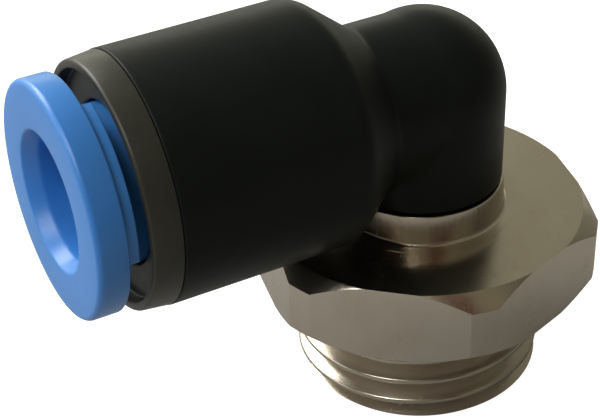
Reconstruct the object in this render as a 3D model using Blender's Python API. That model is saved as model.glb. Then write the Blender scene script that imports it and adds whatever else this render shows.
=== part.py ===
"""Swivel male elbow for 6 mm air tube, with a parallel pipe thread and a push-in tube socket.

Two axes meet in the middle of the elbow. The thread axis is world Z, with the origin in the middle of
the hexagon's sealing face. The tube axis is level and the tube goes in from -X. Every turned piece is
drawn around its own Z, so the pieces on the tube axis hang on an empty whose Z points out of the socket,
and their heights are reaches from the thread axis. Lengths are metres.
"""

import math

import bmesh
import bpy
from mathutils import Matrix, Vector

MM = 0.001
DEGREE = math.pi / 180
FULL_TURN = 2 * math.pi

# Clearances
REST_GAP = 0.15 * MM
SLIDE_GAP = 0.10 * MM
RING_GAP = 0.05 * MM
CUT_PAST = 0.50 * MM

# Thread and hexagon of the stud
THREAD_DIAMETER = 13.157 * MM
THREAD_PITCH = 1.337 * MM
THREAD_DEPTH = 0.856 * MM
THREAD_CREST = 0.22 * MM
THREAD_SUNK = 0.06 * MM
THREAD_FLANK = 27.5 * DEGREE
THREAD_LENGTH = 5.87 * MM
THREAD_END_CHAMFER = 0.53 * MM
THREAD_CREST_DROP = 2.63 * MM
RELIEF_LENGTH = 1.20 * MM
HEX_ACROSS_FLATS = 17.0 * MM
HEX_CORNER_ROUND = 18.88 * MM
HEX_HEIGHT = 4.25 * MM
HEX_TURN = 48.8 * DEGREE
HEX_FACE_DIAMETER = 17.3 * MM
HEX_CHAMFER_SLOPE = 44.0 * DEGREE
FACE_SEAL_SECTION = 1.10 * MM
FACE_SEAL_PROUD = 0.25 * MM

# Flow passages
FLOW_DIAMETER = 4.0 * MM
BEND_EASE = 0.10 * MM
PORT_DIAMETER = 6.6 * MM
PORT_DEPTH = 6.2 * MM
PORT_CONE = 59.0 * DEGREE

# Neck, and the spigot that the elbow turns on
NECK_HEIGHT = 1.70 * MM
NECK_PROUD = 0.12 * MM
SPIGOT_WALL = 0.50 * MM
SWIVEL_RING_SECTION = 0.74 * MM
SNAP_RING_THICKNESS = 0.40 * MM
SNAP_RING_BITE = 0.30 * MM
SNAP_RING_OPENING = 40.0 * DEGREE
SNAP_RING_START = 200.0 * DEGREE
SPIGOT_LAND = 0.55 * MM
ELBOW_WALL = 0.94 * MM

# Push-in cartridge, from the tube outwards
TUBE_DIAMETER = 6.0 * MM
TUBE_CLEARANCE = 0.08 * MM
TUBE_GRIP = 0.08 * MM
SEAL_SQUEEZE = 0.10 * MM
SLEEVE_WALL = 0.85 * MM
CATCH_HEIGHT = 0.33 * MM
COLLAR_WALL = 0.70 * MM
SOCKET_WALL = 1.12 * MM
COLLAR_INSET = 0.03 * MM
COLLAR_TAPER = 0.15 * MM
FLANGE_INSET = 0.46 * MM
RIB_STEP = 0.25 * MM

# Reaches and lengths along the tube axis
TUBE_STOP_REACH = 4.60 * MM
TUBE_LAND = 2.40 * MM
SEAL_WIDTH = 2.20 * MM
SEAL_CHAMBER_STEP = 0.50 * MM
SEAL_LIP_LENGTH = 0.45 * MM
SEAL_LIP_HEIGHT = 0.42 * MM
SUPPORT_LIP = 0.35 * MM
SUPPORT_CONE_SLOPE = 45.0 * DEGREE
GRIP_THICKNESS = 0.25 * MM
GRIP_RIM_WIDTH = 0.70 * MM
GRIP_CLAW_SLOPE = 35.0 * DEGREE
GRIP_SLOT_WIDTH = 0.45 * MM
GRIP_SLOT_STOP = 0.15 * MM
GRIP_CLAWS = 8
CATCH_ROOM = 2.20 * MM
CATCH_LENGTH = 0.80 * MM
CATCH_RAMP = 0.40 * MM
NOSE_WALL = 0.45 * MM
NOSE_TAPER = 0.60 * MM
CLAW_GAP = 0.20 * MM
SOCKET_REACH = 16.22 * MM
COLLAR_BAND = 1.35 * MM
COLLAR_RECESS_DEPTH = 0.70 * MM
RELEASE_GAP = 0.97 * MM
FLANGE_THICKNESS = 1.58 * MM
RIB_LENGTH = 0.55 * MM
RIB_START = 104.0 * DEGREE
RIB_SPAN = 82.5 * DEGREE
RIB_COUNT = 2
MOUTH_FLARE = 0.42 * MM
MOUTH_DEPTH = 0.75 * MM

# Outside of the elbow
SHOULDER_REACH = 3.75 * MM
SHOULDER_SLOPE = 39.0 * DEGREE
SHOULDER_ROUND = 1.60 * MM
VALLEY_ROUND = 0.50 * MM
ARM_INSET = 0.08 * MM
EDGE_ROUND = 0.12 * MM
FLANGE_ROUND = 0.30 * MM
COLLAR_ROUND = 0.20 * MM
SOCKET_ABOVE_HEX = 0.32 * MM

# Fineness of the round pieces
TURN_STEPS = 40
THREAD_STEPS = 36
ROUND_STEPS = 3
DOME_STEPS = 8
RING_STEPS = 10

# Radii that follow from the sizes above
THREAD_R = THREAD_DIAMETER / 2
THREAD_ROOT_R = THREAD_R - THREAD_DEPTH
FLOW_R = FLOW_DIAMETER / 2
PORT_R = PORT_DIAMETER / 2
SWIVEL_GROOVE_R = FLOW_R + SPIGOT_WALL
SWIVEL_RING_R = SWIVEL_GROOVE_R + RING_GAP + SWIVEL_RING_SECTION / 2
SPIGOT_R = SWIVEL_GROOVE_R + SWIVEL_RING_SECTION + 2 * RING_GAP - SLIDE_GAP
ELBOW_BORE_R = SPIGOT_R + SLIDE_GAP
ELBOW_R = ELBOW_BORE_R + ELBOW_WALL
NECK_R = ELBOW_R + NECK_PROUD
SNAP_RING_INNER_R = SPIGOT_R - SNAP_RING_BITE
SNAP_RING_OUTER_R = ELBOW_BORE_R + SNAP_RING_BITE
SNAP_GROOVE_OUTER_R = SNAP_RING_OUTER_R + RING_GAP
FACE_SEAL_R = THREAD_ROOT_R + RING_GAP + FACE_SEAL_SECTION / 2
FACE_SEAL_GROOVE_R = FACE_SEAL_R + FACE_SEAL_SECTION / 2 + RING_GAP
HEX_FACE_R = HEX_FACE_DIAMETER / 2
HEX_CORNER_R = HEX_CORNER_ROUND / 2
ARM_R = ELBOW_R - ARM_INSET
BEND_R = FLOW_R + BEND_EASE
TUBE_BORE_R = TUBE_DIAMETER / 2 + TUBE_CLEARANCE
GRIP_TIP_R = TUBE_DIAMETER / 2 - TUBE_GRIP
SEAL_LIP_R = TUBE_DIAMETER / 2 - SEAL_SQUEEZE
NOSE_R = TUBE_BORE_R + NOSE_WALL
SLEEVE_R = TUBE_BORE_R + SLEEVE_WALL
CATCH_R = SLEEVE_R + CATCH_HEIGHT
COLLAR_LIP_R = SLEEVE_R + SLIDE_GAP
COLLAR_CHAMBER_R = CATCH_R + SLIDE_GAP
COLLAR_NOSE_R = COLLAR_CHAMBER_R + COLLAR_WALL
CARTRIDGE_R = COLLAR_NOSE_R + REST_GAP
SEAL_CHAMBER_R = CARTRIDGE_R - SEAL_CHAMBER_STEP
SOCKET_R = CARTRIDGE_R + SOCKET_WALL
COLLAR_R = SOCKET_R - COLLAR_INSET
FLANGE_R = SOCKET_R - FLANGE_INSET
RIB_R = FLANGE_R - RIB_STEP
COLLAR_RECESS_R = RIB_R + SLIDE_GAP
GRIP_OUTER_R = COLLAR_NOSE_R
GRIP_RIM_R = GRIP_OUTER_R - GRIP_RIM_WIDTH
SUPPORT_CONE_R = GRIP_RIM_R + REST_GAP
SUPPORT_BORE_R = TUBE_BORE_R + RING_GAP

# Heights along the thread axis
THREAD_END = -THREAD_LENGTH
HEX_CHAMFER_DROP = (HEX_CORNER_R - HEX_FACE_R) * math.tan(HEX_CHAMFER_SLOPE)
FACE_SEAL_GROOVE_TOP = FACE_SEAL_SECTION - FACE_SEAL_PROUD + RING_GAP
PORT_TOP = THREAD_END + PORT_DEPTH
PORT_CONE_TOP = PORT_TOP + (PORT_R - FLOW_R) / math.tan(PORT_CONE)
NECK_TOP = HEX_HEIGHT + NECK_HEIGHT
SNAP_GROOVE_LOW = NECK_TOP + SPIGOT_LAND
SNAP_GROOVE_HIGH = SNAP_GROOVE_LOW + SNAP_RING_THICKNESS + 2 * RING_GAP
SWIVEL_GROOVE_LOW = SNAP_GROOVE_HIGH + SPIGOT_LAND
SWIVEL_GROOVE_HIGH = SWIVEL_GROOVE_LOW + SWIVEL_RING_SECTION + 2 * RING_GAP
SPIGOT_TOP = SWIVEL_GROOVE_HIGH + SPIGOT_LAND
ELBOW_FOOT = NECK_TOP + REST_GAP
ELBOW_BORE_TOP = SPIGOT_TOP + REST_GAP
TUBE_AXIS_HEIGHT = HEX_HEIGHT + SOCKET_ABOVE_HEX + SOCKET_R

# Reaches along the tube axis
SEAL_FLOOR = TUBE_STOP_REACH + TUBE_LAND
SEAL_START = SEAL_FLOOR + RING_GAP
SEAL_END = SEAL_START + SEAL_WIDTH
SUPPORT_START = SEAL_END + REST_GAP
SUPPORT_CONE_DEPTH = (SUPPORT_CONE_R - SUPPORT_BORE_R) * math.tan(SUPPORT_CONE_SLOPE)
SUPPORT_END = SUPPORT_START + SUPPORT_LIP + SUPPORT_CONE_DEPTH
GRIP_START = SUPPORT_END + SLIDE_GAP
GRIP_END = GRIP_START + GRIP_THICKNESS
COLLAR_NOSE = GRIP_END + SLIDE_GAP
COLLAR_CATCH = COLLAR_NOSE + CATCH_ROOM
COLLAR_BACK = SOCKET_REACH + REST_GAP
COLLAR_FRONT = COLLAR_BACK + COLLAR_BAND
COLLAR_RECESS_FLOOR = COLLAR_FRONT - COLLAR_RECESS_DEPTH
FLANGE_BACK = COLLAR_FRONT + RELEASE_GAP
SLEEVE_FRONT = FLANGE_BACK + FLANGE_THICKNESS
RIB_BACK = FLANGE_BACK - RIB_LENGTH
CATCH_FRONT = COLLAR_CATCH - SLIDE_GAP
CATCH_BACK = CATCH_FRONT - CATCH_LENGTH
CLAW_DROP = (GRIP_RIM_R - GRIP_TIP_R) * math.tan(GRIP_CLAW_SLOPE)
SLEEVE_NOSE = GRIP_END - (GRIP_RIM_R - NOSE_R) * math.tan(GRIP_CLAW_SLOPE) + CLAW_GAP
SHOULDER_TOP = SHOULDER_REACH + (SOCKET_R - ARM_R) / math.tan(SHOULDER_SLOPE)


def clear_scene():
    for item in list(bpy.data.objects):
        bpy.data.objects.remove(item, do_unlink=True)


def material(name, color, roughness, metallic=0.0):
    finish = bpy.data.materials.new(name)
    finish.use_nodes = True
    shader = finish.node_tree.nodes["Principled BSDF"]
    shader.inputs["Base Color"].default_value = (*color, 1.0)
    shader.inputs["Roughness"].default_value = roughness
    shader.inputs["Metallic"].default_value = metallic
    finish.diffuse_color = (*color, 1.0)
    return finish


def rounded(corners):
    """Points of a closed outline. A corner's third value is its radius, and its fourth the arc's steps."""
    points = []
    for index, (x, y, *rounding) in enumerate(corners):
        here = Vector((x, y))
        if not rounding:
            points.append(here)
            continue
        radius = rounding[0]
        steps = rounding[1] if len(rounding) > 1 else ROUND_STEPS
        back = (Vector(corners[index - 1][:2]) - here).normalized()
        ahead = (Vector(corners[(index + 1) % len(corners)][:2]) - here).normalized()
        half_angle = back.angle(ahead) / 2
        middle = here + (back + ahead).normalized() * radius / math.sin(half_angle)
        first = here + back * radius / math.tan(half_angle) - middle
        last = here + ahead * radius / math.tan(half_angle) - middle
        swing = -first.angle_signed(last)
        points += [middle + Matrix.Rotation(swing * step / steps, 2) @ first for step in range(steps + 1)]
    return points


def ring_section(radius, height, section):
    """Outline of a round cord of the given section, whose middle runs at the radius and height."""
    angles = [FULL_TURN * step / RING_STEPS for step in range(RING_STEPS)]
    half = section / 2
    return [(radius + half * math.cos(angle), height + half * math.sin(angle)) for angle in angles]


def new_object(name, bm, finish=None, parent=None):
    """Object from a bmesh. Without a finish it is a tool for cuts and joins, and isn't a piece."""
    bmesh.ops.recalc_face_normals(bm, faces=bm.faces)
    mesh = bpy.data.meshes.new(name)
    bm.to_mesh(mesh)
    bm.free()
    item = bpy.data.objects.new(name, mesh)
    bpy.context.collection.objects.link(item)
    item.parent = parent
    if finish is None:
        item.hide_render = True
        item.display_type = "WIRE"
    else:
        mesh.materials.append(finish)
        mesh.shade_smooth()
        mesh.set_sharp_from_angle(angle=30 * DEGREE)
    return item


def turned(name, corners, finish=None, parent=None, start=0.0, span=FULL_TURN):
    """Solid turned around its own Z from an outline of (radius, height) corners that stays off the axis."""
    bm = bmesh.new()
    points = rounded(corners)
    verts = [bm.verts.new((p.x * math.cos(start), p.x * math.sin(start), p.y)) for p in points]
    whole = span == FULL_TURN
    steps = TURN_STEPS if whole else math.ceil(TURN_STEPS * span / FULL_TURN)
    edges = [bm.edges.new((verts[index - 1], vert)) for index, vert in enumerate(verts)]
    spun = bmesh.ops.spin(bm, geom=edges, axis=(0, 0, 1), angle=span, steps=steps, use_merge=whole)
    if not whole:
        bmesh.ops.contextual_create(bm, geom=edges)
        last = [item for item in spun["geom_last"] if isinstance(item, bmesh.types.BMEdge)]
        bmesh.ops.contextual_create(bm, geom=last)
    return new_object(name, bm, finish, parent)


def turned_solid(name, corners, finish=None, parent=None):
    """Solid without a bore: its outline starts and ends on the axis."""
    bm = bmesh.new()
    verts = [bm.verts.new((point.x, 0, point.y)) for point in rounded(corners)]
    edges = [bm.edges.new(pair) for pair in zip(verts, verts[1:])]
    bmesh.ops.spin(bm, geom=edges, axis=(0, 0, 1), angle=FULL_TURN, steps=TURN_STEPS, use_merge=True)
    bmesh.ops.remove_doubles(bm, verts=bm.verts, dist=0.001 * MM)
    return new_object(name, bm, finish, parent)


def combine(piece, operation, tool):
    step = piece.modifiers.new(f"{operation.lower()} {tool.name}", "BOOLEAN")
    step.operation = operation
    step.solver = "EXACT"
    step.object = tool


def hexagon_bar():
    bm = bmesh.new()
    corner_r = HEX_ACROSS_FLATS / 2 / math.cos(FULL_TURN / 12)
    bmesh.ops.create_circle(bm, cap_ends=True, segments=6, radius=corner_r)
    bmesh.ops.rotate(bm, verts=bm.verts, matrix=Matrix.Rotation(HEX_TURN, 3, "Z"))
    bmesh.ops.translate(bm, verts=bm.verts, vec=(0, 0, -CUT_PAST))
    grown = bmesh.ops.extrude_face_region(bm, geom=list(bm.faces), use_keep_orig=True)
    top = [item for item in grown["geom"] if isinstance(item, bmesh.types.BMVert)]
    bmesh.ops.translate(bm, verts=top, vec=(0, 0, HEX_HEIGHT + 2 * CUT_PAST))
    return new_object("hexagon_bar", bm)


def hexagon():
    """Hexagon with turned corners, chamfered faces and the groove of the face seal."""
    inner_r = (PORT_R + NECK_R) / 2
    ring = turned("hexagon", [
        (inner_r, FACE_SEAL_GROOVE_TOP),
        (FACE_SEAL_GROOVE_R, FACE_SEAL_GROOVE_TOP),
        (FACE_SEAL_GROOVE_R, 0),
        (HEX_FACE_R, 0),
        (HEX_CORNER_R, HEX_CHAMFER_DROP),
        (HEX_CORNER_R, HEX_HEIGHT - HEX_CHAMFER_DROP),
        (HEX_FACE_R, HEX_HEIGHT),
        (inner_r, HEX_HEIGHT)])
    combine(ring, "INTERSECT", hexagon_bar())
    return ring


def thread_ridge():
    """Right-handed ridge of the pipe thread, trimmed at the relief and at the chamfered end."""
    inner_r = THREAD_ROOT_R - THREAD_SUNK
    outer_r = THREAD_R + THREAD_SUNK
    half_inner = THREAD_CREST / 2 + (THREAD_R - inner_r) * math.tan(THREAD_FLANK)
    half_outer = THREAD_CREST / 2 + (THREAD_R - outer_r) * math.tan(THREAD_FLANK)
    turns_below = math.ceil((THREAD_LENGTH - THREAD_CREST_DROP) / THREAD_PITCH) + 1
    start = -THREAD_CREST_DROP - turns_below * THREAD_PITCH
    steps = math.ceil(-start / THREAD_PITCH * THREAD_STEPS)
    section = [(inner_r, -half_inner), (outer_r, -half_outer), (outer_r, half_outer), (inner_r, half_inner)]
    bm = bmesh.new()
    face = bm.faces.new([bm.verts.new((radius, 0, start + height)) for radius, height in section])
    bmesh.ops.spin(bm, geom=[face], axis=(0, 0, 1), dvec=(0, 0, THREAD_PITCH / THREAD_STEPS),
                   angle=FULL_TURN * steps / THREAD_STEPS, steps=steps)
    ridge = new_object("thread_ridge", bm)
    room_r = inner_r - CUT_PAST
    room = turned("thread_room", [
        (room_r, THREAD_END + THREAD_SUNK),
        (THREAD_R - THREAD_END_CHAMFER, THREAD_END + THREAD_SUNK),
        (THREAD_R, THREAD_END + THREAD_END_CHAMFER),
        (THREAD_R, -RELIEF_LENGTH - THREAD_DEPTH / 2),
        (room_r, -RELIEF_LENGTH + (THREAD_ROOT_R - room_r) / 2)])
    combine(ridge, "INTERSECT", room)
    return ridge


def threaded_stud(finish):
    """Brass stud: pipe thread, hexagon, neck, and the grooved spigot inside the elbow."""
    hex_middle = HEX_HEIGHT / 2
    snap_groove_r = SNAP_RING_INNER_R - RING_GAP
    stud = turned("threaded_stud", [
        (PORT_R, THREAD_END),
        (THREAD_ROOT_R, THREAD_END),
        (THREAD_ROOT_R, hex_middle),
        (NECK_R, hex_middle),
        (NECK_R, NECK_TOP),
        (SPIGOT_R, NECK_TOP),
        (SPIGOT_R, SNAP_GROOVE_LOW),
        (snap_groove_r, SNAP_GROOVE_LOW),
        (snap_groove_r, SNAP_GROOVE_HIGH),
        (SPIGOT_R, SNAP_GROOVE_HIGH),
        (SPIGOT_R, SWIVEL_GROOVE_LOW),
        (SWIVEL_GROOVE_R, SWIVEL_GROOVE_LOW),
        (SWIVEL_GROOVE_R, SWIVEL_GROOVE_HIGH),
        (SPIGOT_R, SWIVEL_GROOVE_HIGH),
        (SPIGOT_R, SPIGOT_TOP, EDGE_ROUND, 1),
        (FLOW_R, SPIGOT_TOP),
        (FLOW_R, PORT_CONE_TOP),
        (PORT_R, PORT_TOP)], finish)
    combine(stud, "UNION", hexagon())
    combine(stud, "UNION", thread_ridge())


def face_seal(finish):
    height = FACE_SEAL_SECTION / 2 - FACE_SEAL_PROUD
    turned("face_seal", ring_section(FACE_SEAL_R, height, FACE_SEAL_SECTION), finish)


def swivel_o_ring(finish):
    height = (SWIVEL_GROOVE_LOW + SWIVEL_GROOVE_HIGH) / 2
    turned("swivel_o_ring", ring_section(SWIVEL_RING_R, height, SWIVEL_RING_SECTION), finish)


def swivel_snap_ring(finish):
    """Split ring that sits half in the spigot and half in the elbow, and lets the elbow turn."""
    low = SNAP_GROOVE_LOW + RING_GAP
    high = low + SNAP_RING_THICKNESS
    turned("swivel_snap_ring", [
        (SNAP_RING_INNER_R, low), (SNAP_RING_OUTER_R, low),
        (SNAP_RING_OUTER_R, high), (SNAP_RING_INNER_R, high)],
        finish, start=SNAP_RING_START, span=FULL_TURN - SNAP_RING_OPENING)


def elbow_leg(thread_axis):
    """Upright leg with a domed top."""
    top = TUBE_AXIS_HEIGHT + ELBOW_R
    return turned_solid("elbow_leg", [
        (0, ELBOW_FOOT), (ELBOW_R, ELBOW_FOOT),
        (ELBOW_R, top, ELBOW_R, DOME_STEPS), (0, top)], parent=thread_axis)


def leg_bore(thread_axis):
    """Stepped bore for the spigot, with the snap ring's groove and the flow passage up to the bend."""
    top = TUBE_AXIS_HEIGHT + BEND_R
    return turned_solid("leg_bore", [
        (0, ELBOW_FOOT - CUT_PAST),
        (ELBOW_BORE_R, ELBOW_FOOT - CUT_PAST),
        (ELBOW_BORE_R, SNAP_GROOVE_LOW),
        (SNAP_GROOVE_OUTER_R, SNAP_GROOVE_LOW),
        (SNAP_GROOVE_OUTER_R, SNAP_GROOVE_HIGH),
        (ELBOW_BORE_R, SNAP_GROOVE_HIGH),
        (ELBOW_BORE_R, ELBOW_BORE_TOP),
        (BEND_R, ELBOW_BORE_TOP),
        (BEND_R, top, BEND_R, DOME_STEPS // 2),
        (0, top)], parent=thread_axis)


def socket_bore(tube_axis):
    """Stepped bore for the tube, its seal and the cartridge."""
    return turned_solid("socket_bore", [
        (0, 0),
        (FLOW_R, 0),
        (FLOW_R, TUBE_STOP_REACH),
        (TUBE_BORE_R, TUBE_STOP_REACH),
        (TUBE_BORE_R, SEAL_FLOOR),
        (SEAL_CHAMBER_R, SEAL_FLOOR),
        (SEAL_CHAMBER_R, SEAL_END),
        (CARTRIDGE_R, SEAL_END),
        (CARTRIDGE_R, SOCKET_REACH + CUT_PAST),
        (0, SOCKET_REACH + CUT_PAST)], parent=tube_axis)


def elbow_body(finish, thread_axis, tube_axis):
    """Moulded elbow: a socket with a sloping shoulder, an arm, and a leg of nearly the same radius."""
    elbow = turned_solid("elbow_body", [
        (0, 0),
        (ARM_R, 0),
        (ARM_R, SHOULDER_REACH, VALLEY_ROUND),
        (SOCKET_R, SHOULDER_TOP, SHOULDER_ROUND),
        (SOCKET_R, SOCKET_REACH, EDGE_ROUND, 1),
        (0, SOCKET_REACH)], finish, tube_axis)
    combine(elbow, "UNION", elbow_leg(thread_axis))
    combine(elbow, "DIFFERENCE", leg_bore(thread_axis))
    combine(elbow, "DIFFERENCE", socket_bore(tube_axis))


def tube_seal(finish, tube_axis):
    """Rubber ring with a lip that the tube pushes open."""
    outer_r = SEAL_CHAMBER_R - RING_GAP
    waist_r = SEAL_LIP_R + SEAL_LIP_HEIGHT
    turned("tube_seal", [
        (waist_r, SEAL_START),
        (outer_r, SEAL_START),
        (outer_r, SEAL_END),
        (waist_r + SEAL_LIP_HEIGHT, SEAL_END),
        (SEAL_LIP_R, SEAL_END - SEAL_LIP_HEIGHT),
        (SEAL_LIP_R, SEAL_END - SEAL_LIP_HEIGHT - SEAL_LIP_LENGTH),
        (waist_r, SEAL_END - 2 * SEAL_LIP_HEIGHT - SEAL_LIP_LENGTH)], finish, tube_axis)


def seal_support_ring(finish, tube_axis):
    """Ring that backs the seal and leaves the claws room in its cone."""
    outer_r = CARTRIDGE_R - SLIDE_GAP
    turned("seal_support_ring", [
        (SUPPORT_BORE_R, SUPPORT_START),
        (outer_r, SUPPORT_START),
        (outer_r, SUPPORT_END),
        (SUPPORT_CONE_R, SUPPORT_END),
        (SUPPORT_BORE_R, SUPPORT_END - SUPPORT_CONE_DEPTH)], finish, tube_axis)


def claw_slots(tube_axis):
    """Slots that part the claws, from inside the tips almost to the rim."""
    bm = bmesh.new()
    outer_r = GRIP_RIM_R - GRIP_SLOT_STOP
    inner_r = GRIP_TIP_R - CUT_PAST
    height = CLAW_DROP + GRIP_THICKNESS + 2 * CUT_PAST
    middle = Vector(((inner_r + outer_r) / 2, 0, GRIP_END + CUT_PAST - height / 2))
    for claw in range(GRIP_CLAWS):
        place = Matrix.Rotation(FULL_TURN * claw / GRIP_CLAWS, 4, "Z") @ Matrix.Translation(middle)
        size = Matrix.Diagonal((outer_r - inner_r, GRIP_SLOT_WIDTH, height, 1))
        bmesh.ops.create_cube(bm, size=1, matrix=place @ size)
    return new_object("claw_slots", bm, parent=tube_axis)


def grip_ring(finish, tube_axis):
    """Spring steel ring: a flat rim, and claws that lean into the fitting and bite the tube."""
    ring = turned("grip_ring", [
        (GRIP_RIM_R, GRIP_START),
        (GRIP_OUTER_R, GRIP_START),
        (GRIP_OUTER_R, GRIP_END),
        (GRIP_RIM_R, GRIP_END),
        (GRIP_TIP_R, GRIP_END - CLAW_DROP),
        (GRIP_TIP_R, GRIP_START - CLAW_DROP)], finish, tube_axis)
    combine(ring, "DIFFERENCE", claw_slots(tube_axis))


def retaining_collar(finish, tube_axis):
    """Collar pressed into the socket: it clamps the cartridge and keeps the sleeve's catch inside."""
    turned("retaining_collar", [
        (COLLAR_CHAMBER_R, COLLAR_NOSE),
        (COLLAR_NOSE_R, COLLAR_NOSE),
        (COLLAR_NOSE_R, COLLAR_BACK),
        (COLLAR_R, COLLAR_BACK),
        (COLLAR_R - COLLAR_TAPER, COLLAR_FRONT, COLLAR_ROUND),
        (COLLAR_RECESS_R, COLLAR_FRONT),
        (COLLAR_RECESS_R, COLLAR_RECESS_FLOOR),
        (COLLAR_LIP_R, COLLAR_RECESS_FLOOR),
        (COLLAR_LIP_R, COLLAR_CATCH),
        (COLLAR_CHAMBER_R, COLLAR_CATCH)], finish, tube_axis)


def stop_rib(number, tube_axis):
    """Raised arc behind the flange. RIB_START is counted from +Y towards +Z."""
    inner_r = SLEEVE_R - SLEEVE_WALL / 2
    front = FLANGE_BACK + FLANGE_THICKNESS / 2
    start = FULL_TURN / 4 - RIB_START - RIB_SPAN + FULL_TURN * number / RIB_COUNT
    return turned(f"stop_rib_{number}", [
        (inner_r, RIB_BACK), (RIB_R, RIB_BACK), (RIB_R, front), (inner_r, front)],
        parent=tube_axis, start=start, span=RIB_SPAN)


def release_sleeve(finish, tube_axis):
    """Sleeve that opens the claws when its flange is pressed."""
    sleeve = turned("release_sleeve", [
        (TUBE_BORE_R, SLEEVE_NOSE),
        (NOSE_R, SLEEVE_NOSE),
        (SLEEVE_R, SLEEVE_NOSE + NOSE_TAPER),
        (SLEEVE_R, CATCH_BACK - CATCH_RAMP),
        (CATCH_R, CATCH_BACK),
        (CATCH_R, CATCH_FRONT),
        (SLEEVE_R, CATCH_FRONT),
        (SLEEVE_R, FLANGE_BACK),
        (FLANGE_R, FLANGE_BACK, EDGE_ROUND, 1),
        (FLANGE_R, SLEEVE_FRONT, FLANGE_ROUND),
        (TUBE_BORE_R + MOUTH_FLARE, SLEEVE_FRONT, EDGE_ROUND, 1),
        (TUBE_BORE_R, SLEEVE_FRONT - MOUTH_DEPTH)], finish, tube_axis)
    for number in range(RIB_COUNT):
        combine(sleeve, "UNION", stop_rib(number, tube_axis))


def axis_empty(name, location, rotation=(0, 0, 0)):
    empty = bpy.data.objects.new(name, None)
    empty.location = location
    empty.rotation_euler = rotation
    bpy.context.collection.objects.link(empty)
    return empty


def main():
    clear_scene()
    brass = material("nickel_plated_brass", (0.42, 0.38, 0.32), 0.28, 1.0)
    steel = material("spring_steel", (0.55, 0.56, 0.57), 0.30, 1.0)
    rubber = material("black_rubber", (0.015, 0.015, 0.016), 0.65)
    body = material("black_moulding", (0.010, 0.012, 0.012), 0.42)
    collar = material("dark_grey_collar", (0.045, 0.047, 0.044), 0.45)
    blue = material("blue_sleeve", (0.040, 0.165, 0.480), 0.38)
    natural = material("natural_acetal", (0.62, 0.60, 0.55), 0.45)

    thread_axis = axis_empty("thread_axis", (0, 0, 0))
    tube_axis = axis_empty("tube_axis", (0, 0, TUBE_AXIS_HEIGHT), (0, -FULL_TURN / 4, 0))

    threaded_stud(brass)
    face_seal(rubber)
    swivel_o_ring(rubber)
    swivel_snap_ring(steel)
    elbow_body(body, thread_axis, tube_axis)
    tube_seal(rubber, tube_axis)
    seal_support_ring(natural, tube_axis)
    grip_ring(steel, tube_axis)
    retaining_collar(collar, tube_axis)
    release_sleeve(blue, tube_axis)


main()
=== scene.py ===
import math

import bmesh
import bpy
import numpy as np
from mathutils import Matrix, Vector


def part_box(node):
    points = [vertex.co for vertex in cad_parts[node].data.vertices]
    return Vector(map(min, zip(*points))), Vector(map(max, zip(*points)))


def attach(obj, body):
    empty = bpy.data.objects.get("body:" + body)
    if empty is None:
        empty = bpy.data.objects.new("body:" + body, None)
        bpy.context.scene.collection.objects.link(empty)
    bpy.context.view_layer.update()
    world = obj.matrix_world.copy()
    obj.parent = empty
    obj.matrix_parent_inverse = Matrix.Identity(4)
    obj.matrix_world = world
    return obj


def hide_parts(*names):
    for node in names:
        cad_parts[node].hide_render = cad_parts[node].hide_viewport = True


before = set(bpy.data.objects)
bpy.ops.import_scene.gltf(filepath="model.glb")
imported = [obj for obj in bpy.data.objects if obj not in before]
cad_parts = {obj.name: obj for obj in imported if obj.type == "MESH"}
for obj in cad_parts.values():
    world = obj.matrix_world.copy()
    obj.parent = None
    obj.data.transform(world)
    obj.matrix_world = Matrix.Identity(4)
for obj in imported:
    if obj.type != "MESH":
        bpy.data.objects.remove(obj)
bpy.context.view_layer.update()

MM = 0.001
DEGREE = math.pi / 180
FULL_TURN = 2 * math.pi

# ---------------------------------------------------------------- places, read from the frame
STUD_LOW, STUD_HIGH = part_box("threaded_stud")
ELBOW_LOW, ELBOW_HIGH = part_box("elbow_body")
COLLAR_LOW, COLLAR_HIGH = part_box("retaining_collar")
SLEEVE_LOW, SLEEVE_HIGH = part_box("release_sleeve")
GRIP_LOW, GRIP_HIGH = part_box("grip_ring")
SUPPORT_LOW, SUPPORT_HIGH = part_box("seal_support_ring")
SEAL_LOW, SEAL_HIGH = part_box("tube_seal")
FACE_SEAL_LOW, FACE_SEAL_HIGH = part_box("face_seal")
SWIVEL_LOW, SWIVEL_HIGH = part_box("swivel_o_ring")
SNAP_LOW, SNAP_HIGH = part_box("swivel_snap_ring")

TUBE_AXIS_HEIGHT = (SLEEVE_LOW.z + SLEEVE_HIGH.z) / 2
THREAD_END = STUD_LOW.z
SPIGOT_TOP = STUD_HIGH.z
SOCKET_R = (ELBOW_HIGH.y - ELBOW_LOW.y) / 2
SOCKET_REACH = -ELBOW_LOW.x
ELBOW_R = ELBOW_HIGH.x
COLLAR_R = (COLLAR_HIGH.y - COLLAR_LOW.y) / 2
COLLAR_FRONT = -COLLAR_LOW.x
COLLAR_NOSE = -COLLAR_HIGH.x
FLANGE_R = (SLEEVE_HIGH.y - SLEEVE_LOW.y) / 2
SLEEVE_FRONT = -SLEEVE_LOW.x
SLEEVE_NOSE = -SLEEVE_HIGH.x
GRIP_OUTER_R = (GRIP_HIGH.y - GRIP_LOW.y) / 2
GRIP_END = -GRIP_LOW.x

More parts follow.
